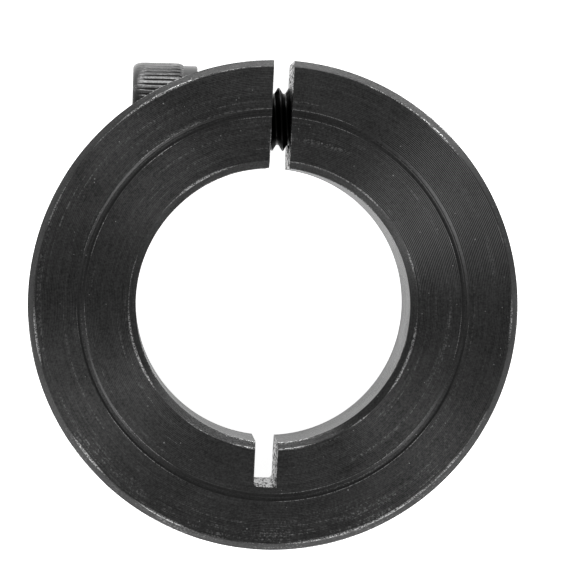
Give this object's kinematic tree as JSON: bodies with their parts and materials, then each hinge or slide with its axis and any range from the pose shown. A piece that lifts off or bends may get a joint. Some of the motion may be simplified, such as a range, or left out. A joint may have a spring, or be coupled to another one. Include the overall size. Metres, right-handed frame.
{
  "type": "shaft collar",
  "caption": "One-piece clamp shaft collar: a black steel split ring with a relief slot opposite the split, closed on its shaft by a socket head cap screw.",
  "frame": {"origin": "centre of the bore on the plain back face, which the collar lies on", "axes": "+Z along the bore axis from the back face to the grooved front face, +Y through the middle of the split, -Y through the relief slot, X along the clamp screw with its head on the -X side and 1.3 degrees off square"},
  "size_m": [0.045, 0.045, 0.015],
  "materials": {
    "ring_steel": "black oxide over fine turning marks, worn bright along the chamfer edges",
    "screw_steel": "black oxide alloy steel with a rolled straight knurl"
  },
  "bodies": {
    "jaw_counterbored": {"collar_jaw_counterbored": "ring_steel"},
    "jaw_tapped": {"collar_jaw_tapped": "ring_steel"},
    "screw": {"clamp_screw": "screw_steel"}
  },
  "joints": [
    {"name": "screw_turn", "type": "hinge", "parent": "jaw_counterbored", "child": "screw", "pos_m": [-0.0039, 0.0171, 0.0075], "axis": [0.9997, 0.0227, 0], "range_deg": [0, 240]},
    {"name": "jaw_flex", "type": "hinge", "parent": "jaw_counterbored", "child": "jaw_tapped", "pos_m": [0, -0.0196, 0.0075], "axis": [0, 0, 1], "range_deg": [0, 1.04]}
  ],
  "couplings": [
    {"joint": "screw_turn", "follows": "jaw_flex", "ratio": 230.59}
  ]
}
